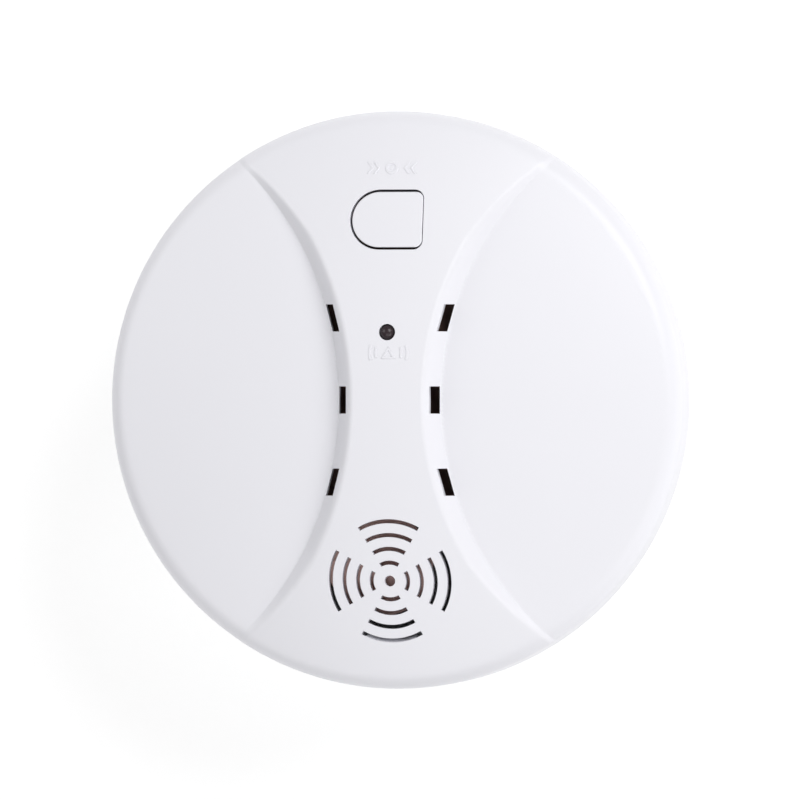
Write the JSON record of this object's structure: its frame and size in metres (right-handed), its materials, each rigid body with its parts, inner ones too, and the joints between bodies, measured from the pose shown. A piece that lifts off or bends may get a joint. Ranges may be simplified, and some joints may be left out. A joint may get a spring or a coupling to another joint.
{
  "type": "smoke detector",
  "caption": "Round white ceiling smoke detector: twist-off head with raised hourglass band, vent slots, horn grille, alarm lamp, test button, block battery behind a rear door.",
  "frame": {"origin": "centre of the mounting plate's back face, the face that lies on the ceiling", "axes": "+Z out of the ceiling through the front cover, +Y toward the test button, +X toward the button's hinge side"},
  "size_m": [0.107, 0.107, 0.035],
  "materials": {
    "white_plastic": "fine satin moulding",
    "shell_plastic": "fine satin moulding",
    "black_plastic": "dull moulding",
    "board": "brown phenolic laminate",
    "chip_body": "moulded epoxy with tinned legs",
    "chip_resistor": "coated",
    "chip_capacitor": "fired ceramic",
    "can_aluminium": "smooth can",
    "ferrite": "sintered ferrite",
    "copper_winding": "enamelled copper wire",
    "smoky_lens": "dark tinted clear epoxy",
    "natural_plastic": "unpigmented nylon",
    "tinned_wire": "tinned",
    "steel": "stamped",
    "screen_steel": "etched mesh",
    "infrared_lens": "tinted clear epoxy",
    "sensor_lens": "dark filter epoxy",
    "disc_brass": "rolled brass",
    "piezo_ceramic": "silvered ceramic",
    "battery_jacket": "plain printed steel jacket",
    "nickel": "nickel plated",
    "wire_red": "PVC insulation",
    "wire_black": "PVC insulation",
    "screw_zinc": "zinc plated",
    "label_paper": "blank silver-grey foil label"
  },
  "bodies": {
    "mounting_plate": {"mounting_plate": "shell_plastic"},
    "detector_head": {"front_cover": "white_plastic", "rear_shell": "shell_plastic", "circuit_board": "board", "detector_chip": "chip_body", "radio_chip": "chip_body", "driver_chip": "chip_body", "resistors": "chip_resistor", "chip_capacitors": "chip_capacitor", "capacitor_cans": "can_aluminium", "horn_coil_core": "ferrite", "horn_coil_winding": "copper_winding", "alarm_lamp": "smoky_lens", "alarm_lamp_spacer": "natural_plastic", "alarm_lamp_leads": "tinned_wire", "switch_body": "black_plastic", "switch_lid": "steel", "chamber_base": "black_plastic", "chamber_cap": "black_plastic", "insect_screen": "screen_steel", "infrared_emitter": "infrared_lens", "light_sensor": "sensor_lens", "chamber_leads": "tinned_wire", "horn_ring": "black_plastic", "horn_disc": "disc_brass", "horn_ceramic": "piezo_ceramic", "horn_lead_ceramic": "wire_red", "horn_lead_brass": "wire_black", "battery_jacket": "battery_jacket", "battery_end_plate": "black_plastic", "battery_positive_stud": "nickel", "battery_negative_socket": "nickel", "battery_connector_cap": "black_plastic", "battery_connector_contacts": "nickel", "battery_lead_positive": "wire_red", "battery_lead_negative": "wire_black", "board_screws": "screw_zinc", "case_screws": "screw_zinc"},
    "test_button": {"test_button": "white_plastic"},
    "switch_plunger": {"switch_plunger": "black_plastic"},
    "battery_door": {"battery_door": "shell_plastic", "rating_label": "label_paper"}
  },
  "joints": [
    {"name": "head_twist", "type": "hinge", "parent": "mounting_plate", "child": "detector_head", "pos_m": [0, 0, 0], "axis": [0, 0, 1], "range_deg": [0, 20]},
    {"name": "test_press", "type": "hinge", "parent": "detector_head", "child": "test_button", "pos_m": [0.00614, 0.0333, 0.0305], "axis": [0, -1, 0], "range_deg": [0, 2], "stiffness_Nm_per_rad": 0.12},
    {"name": "plunger_slide", "type": "slide", "parent": "detector_head", "child": "switch_plunger", "axis": [0, 0, -1], "range_m": [0, 0.00035]},
    {"name": "battery_door_hinge", "type": "hinge", "parent": "detector_head", "child": "battery_door", "pos_m": [-0.0223, 0, 0.0033], "axis": [0, 1, 0], "range_deg": [0, 100]}
  ],
  "couplings": [
    {"joint": "plunger_slide", "follows": "test_press", "m_per_rad": 0.00914}
  ]
}
